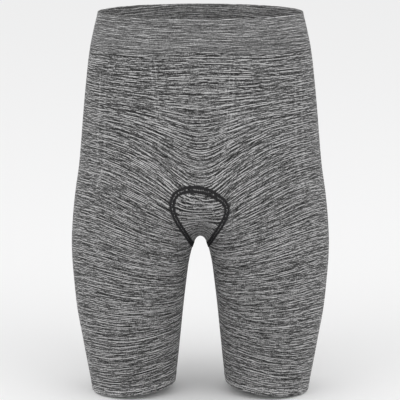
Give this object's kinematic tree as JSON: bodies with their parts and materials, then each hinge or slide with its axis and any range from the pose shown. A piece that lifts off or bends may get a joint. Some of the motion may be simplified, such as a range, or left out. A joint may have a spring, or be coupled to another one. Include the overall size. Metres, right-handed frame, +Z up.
{
  "type": "cycling shorts",
  "caption": "Seamless knee-length knit cycling shorts, filled out as worn, with a turned waistband, an oval crotch gusset and welted leg openings.",
  "frame": {"origin": "centre of the waist opening, where the wearer's waist holds the shorts up", "axes": "+Z up along the wearer's trunk, +Y to the back, +X to the wearer's left"},
  "size_m": [0.362, 0.2438, 0.5398],
  "materials": {
    "knit_waistband": "matte fine double knit, grey melange",
    "knit_body": "matte circular knit, grey melange",
    "knit_legs": "matte circular knit, grey melange",
    "knit_gusset": "matte circular knit, grey melange, black flatlock edge",
    "knit_hems": "matte double knit, grey melange"
  },
  "bodies": {
    "root": {"waistband": "knit_waistband", "body": "knit_body", "leg_left": "knit_legs", "leg_right": "knit_legs", "gusset": "knit_gusset", "hem_left": "knit_hems", "hem_right": "knit_hems"}
  },
  "joints": []
}
